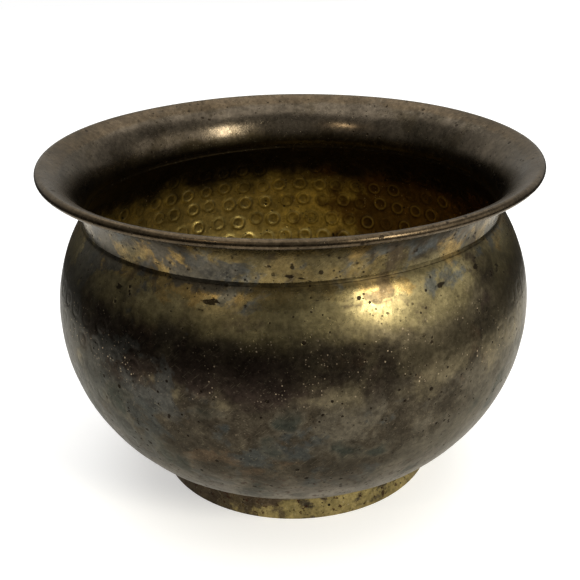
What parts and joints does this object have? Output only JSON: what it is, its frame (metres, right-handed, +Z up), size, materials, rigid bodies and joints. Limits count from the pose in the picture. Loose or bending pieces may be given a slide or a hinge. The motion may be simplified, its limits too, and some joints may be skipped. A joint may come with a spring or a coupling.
{
  "type": "planter pot",
  "caption": "Round hammered brass planter pot with a wide belly, a waisted neck, a flared lip with a rolled edge and a low foot ring.",
  "frame": {"origin": "centre of the foot ring, on the plane that the pot stands on", "axes": "+Z up along the pot's axis of symmetry; +X and +Y are any two directions across it, and the pot looks the same all round"},
  "size_m": [0.254, 0.254, 0.1728],
  "materials": {
    "hammered_brass": "hammered, aged, mottled grey-brown and olive tarnish",
    "lip_brass": "smooth, dull grey-brown tarnish with brighter worn edge",
    "wire_brass": "drawn wire, dull",
    "foot_brass": "smooth strip, worn gold with dark pits",
    "braze": "filed braze, matt"
  },
  "bodies": {
    "root": {"bowl_shell": "hammered_brass", "neck_collar": "lip_brass", "rim_wire": "wire_brass", "neck_braze_seam": "braze", "foot_ring": "foot_brass", "foot_braze_seam": "braze"}
  },
  "joints": []
}
